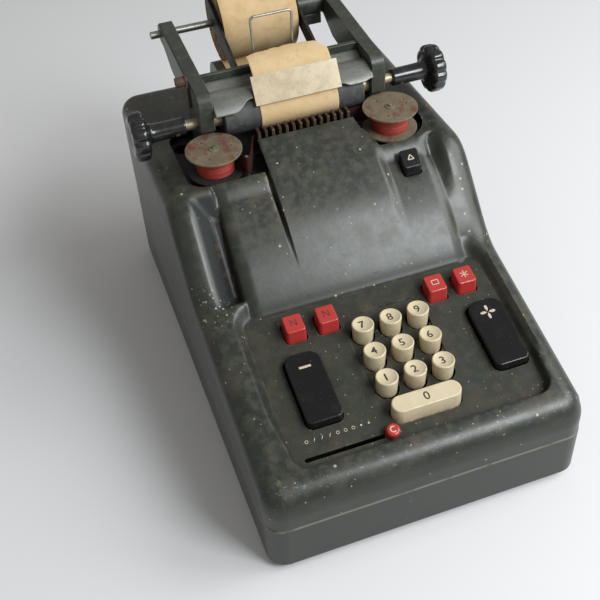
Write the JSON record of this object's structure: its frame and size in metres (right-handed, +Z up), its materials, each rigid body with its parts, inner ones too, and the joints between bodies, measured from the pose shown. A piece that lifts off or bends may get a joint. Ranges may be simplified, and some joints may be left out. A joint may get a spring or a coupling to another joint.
{
  "type": "ten-key printing adding machine",
  "caption": "Electric ten-key adding machine with a moulded enamel housing, ivory digit keys, motor bars, ribbon spools, platen with fluted knobs and a paper roll on cast arms.",
  "frame": {"origin": "middle of the whole machine's footprint, on the surface it stands on", "axes": "+X to the user's right, +Y away from the user (front to back), +Z up"},
  "size_m": [0.232, 0.373, 0.2359],
  "materials": {
    "enamel": "dark grey-green enamel, dusty and chipped",
    "plate_enamel": "flat dark grey-green enamel",
    "ivory": "aged ivory plastic",
    "red_plastic": "glossy red plastic",
    "black_plastic": "glossy black plastic",
    "steel": "dull plain steel",
    "dark_steel": "blackened steel",
    "rusty_steel": "browned steel",
    "brass": "dull brass",
    "platen_rubber": "hard black platen rubber",
    "foot_rubber": "black rubber",
    "arm_enamel": "grey-green enamel on cast arms",
    "window": "yellowed clear plastic, dusty",
    "paper": "aged brown paper",
    "ribbon": "inked ribbon",
    "motor_black": "black enamel"
  },
  "bodies": {
    "base": {"base_pan": "enamel", "rubber_feet": "foot_rubber", "top_cover": "enamel", "keyboard_plate": "plate_enamel", "key_guide_plate": "steel", "side_frame_left": "steel", "side_frame_right": "steel", "frame_rods": "steel", "motor": "motor_black", "power_inlet": "black_plastic", "type_comb": "rusty_steel", "carriage_rails": "steel", "carriage_arm_left": "arm_enamel", "carriage_arm_right": "arm_enamel", "platen_cover": "arm_enamel", "tear_window": "window", "cross_plate": "arm_enamel", "roll_side_bars": "dark_steel", "wire_bail": "steel", "roll_axle": "steel", "roll_hub": "arm_enamel", "paper_strip": "paper", "ribbon_run": "ribbon", "spool_posts": "steel", "spool_deck": "dark_steel"},
    "digit_0": {"key_0": "ivory"},
    "digit_1": {"key_1": "ivory"},
    "digit_2": {"key_2": "ivory"},
    "digit_3": {"key_3": "ivory"},
    "digit_4": {"key_4": "ivory"},
    "digit_5": {"key_5": "ivory"},
    "digit_6": {"key_6": "ivory"},
    "digit_7": {"key_7": "ivory"},
    "digit_8": {"key_8": "ivory"},
    "digit_9": {"key_9": "ivory"},
    "repeat": {"key_repeat": "red_plastic"},
    "non_add": {"key_non_add": "red_plastic"},
    "subtotal": {"key_subtotal": "red_plastic"},
    "total": {"key_total": "red_plastic"},
    "minus": {"minus_bar": "black_plastic"},
    "plus": {"plus_bar": "black_plastic"},
    "feed": {"feed_key": "black_plastic"},
    "slider": {"correction_slider": "red_plastic"},
    "platen": {"platen_roller": "platen_rubber", "platen_shaft": "brass", "knob_left": "black_plastic", "knob_right": "black_plastic"},
    "roll": {"paper_roll": "paper"},
    "left_spool": {"ribbon_spool_left": "rusty_steel", "ribbon_pack_left": "ribbon"},
    "right_spool": {"ribbon_spool_right": "rusty_steel", "ribbon_pack_right": "ribbon"},
    "lever": {"release_lever": "rusty_steel"},
    "drive": {"main_shaft": "steel", "main_gear": "brass"},
    "rotor": {"motor_shaft": "steel"},
    "carriage": {"pin_carriage": "steel"},
    "printing_bars": {"type_bars": "dark_steel"},
    "counter": {"totalizer": "steel"}
  },
  "joints": [
    {"name": "digit_0_press", "type": "slide", "parent": "base", "child": "digit_0", "axis": [0, 0, -1], "range_m": [0, 0.004], "stiffness_N_per_m": 200, "springref_m": -0.001},
    {"name": "digit_1_press", "type": "slide", "parent": "base", "child": "digit_1", "axis": [0, 0, -1], "range_m": [0, 0.004], "stiffness_N_per_m": 200, "springref_m": -0.001},
    {"name": "digit_2_press", "type": "slide", "parent": "base", "child": "digit_2", "axis": [0, 0, -1], "range_m": [0, 0.004], "stiffness_N_per_m": 200, "springref_m": -0.001},
    {"name": "digit_3_press", "type": "slide", "parent": "base", "child": "digit_3", "axis": [0, 0, -1], "range_m": [0, 0.004], "stiffness_N_per_m": 200, "springref_m": -0.001},
    {"name": "digit_4_press", "type": "slide", "parent": "base", "child": "digit_4", "axis": [0, 0, -1], "range_m": [0, 0.004], "stiffness_N_per_m": 200, "springref_m": -0.001},
    {"name": "digit_5_press", "type": "slide", "parent": "base", "child": "digit_5", "axis": [0, 0, -1], "range_m": [0, 0.004], "stiffness_N_per_m": 200, "springref_m": -0.001},
    {"name": "digit_6_press", "type": "slide", "parent": "base", "child": "digit_6", "axis": [0, 0, -1], "range_m": [0, 0.004], "stiffness_N_per_m": 200, "springref_m": -0.001},
    {"name": "digit_7_press", "type": "slide", "parent": "base", "child": "digit_7", "axis": [0, 0, -1], "range_m": [0, 0.004], "stiffness_N_per_m": 200, "springref_m": -0.001},
    {"name": "digit_8_press", "type": "slide", "parent": "base", "child": "digit_8", "axis": [0, 0, -1], "range_m": [0, 0.004], "stiffness_N_per_m": 200, "springref_m": -0.001},
    {"name": "digit_9_press", "type": "slide", "parent": "base", "child": "digit_9", "axis": [0, 0, -1], "range_m": [0, 0.004], "stiffness_N_per_m": 200, "springref_m": -0.001},
    {"name": "repeat_press", "type": "slide", "parent": "base", "child": "repeat", "axis": [0, 0, -1], "range_m": [0, 0.004], "stiffness_N_per_m": 200, "springref_m": -0.001},
    {"name": "non_add_press", "type": "slide", "parent": "base", "child": "non_add", "axis": [0, 0, -1], "range_m": [0, 0.004], "stiffness_N_per_m": 200, "springref_m": -0.001},
    {"name": "subtotal_press", "type": "slide", "parent": "base", "child": "subtotal", "axis": [0, 0, -1], "range_m": [0, 0.004], "stiffness_N_per_m": 200, "springref_m": -0.001},
    {"name": "total_press", "type": "slide", "parent": "base", "child": "total", "axis": [0, 0, -1], "range_m": [0, 0.004], "stiffness_N_per_m": 200, "springref_m": -0.001},
    {"name": "minus_press", "type": "slide", "parent": "base", "child": "minus", "axis": [0, 0, -1], "range_m": [0, 0.004], "stiffness_N_per_m": 400, "springref_m": -0.001},
    {"name": "plus_press", "type": "slide", "parent": "base", "child": "plus", "axis": [0, 0, -1], "range_m": [0, 0.004], "stiffness_N_per_m": 400, "springref_m": -0.001},
    {"name": "feed_press", "type": "slide", "parent": "base", "child": "feed", "axis": [0, 0, -1], "range_m": [0, 0.003], "stiffness_N_per_m": 200, "springref_m": -0.001},
    {"name": "correction_slide", "type": "slide", "parent": "base", "child": "slider", "axis": [-1, 0, 0], "range_m": [0, 0.053]},
    {"name": "platen_spin", "type": "hinge", "parent": "base", "child": "platen", "pos_m": [0, 0.0635, 0.176], "axis": [1, 0, 0], "continuous": true},
    {"name": "paper_roll_spin", "type": "hinge", "parent": "base", "child": "roll", "pos_m": [0.0028, 0.1585, 0.1975], "axis": [1, 0, 0], "continuous": true},
    {"name": "left_spool_spin", "type": "hinge", "parent": "base", "child": "left_spool", "pos_m": [-0.0652, 0.0363, 0.16], "axis": [0, 0, 1], "continuous": true},
    {"name": "right_spool_spin", "type": "hinge", "parent": "base", "child": "right_spool", "pos_m": [0.0652, 0.0363, 0.16], "axis": [0, 0, 1], "continuous": true},
    {"name": "release_lever_turn", "type": "hinge", "parent": "base", "child": "lever", "pos_m": [-0.07, 0.0755, 0.186], "axis": [-1, 0, 0], "range_deg": [0, 25]},
    {"name": "main_shaft_spin", "type": "hinge", "parent": "base", "child": "drive", "pos_m": [0, 0.0815, 0.084], "axis": [1, 0, 0], "continuous": true},
    {"name": "motor_spin", "type": "hinge", "parent": "base", "child": "rotor", "pos_m": [0.014, 0.1215, 0.084], "axis": [1, 0, 0], "continuous": true},
    {"name": "pin_carriage_slide", "type": "slide", "parent": "base", "child": "carriage", "axis": [-1, 0, 0], "range_m": [0, 0.055]},
    {"name": "type_bar_lift", "type": "slide", "parent": "base", "child": "printing_bars", "axis": [0, 0, 1], "range_m": [0, 0.008]},
    {"name": "totalizer_spin", "type": "hinge", "parent": "base", "child": "counter", "pos_m": [0, 0.0185, 0.114], "axis": [1, 0, 0], "continuous": true}
  ],
  "couplings": [
    {"joint": "paper_roll_spin", "follows": "platen_spin", "ratio": 0.5},
    {"joint": "right_spool_spin", "follows": "left_spool_spin", "ratio": 1},
    {"joint": "motor_spin", "follows": "main_shaft_spin", "ratio": -4}
  ]
}
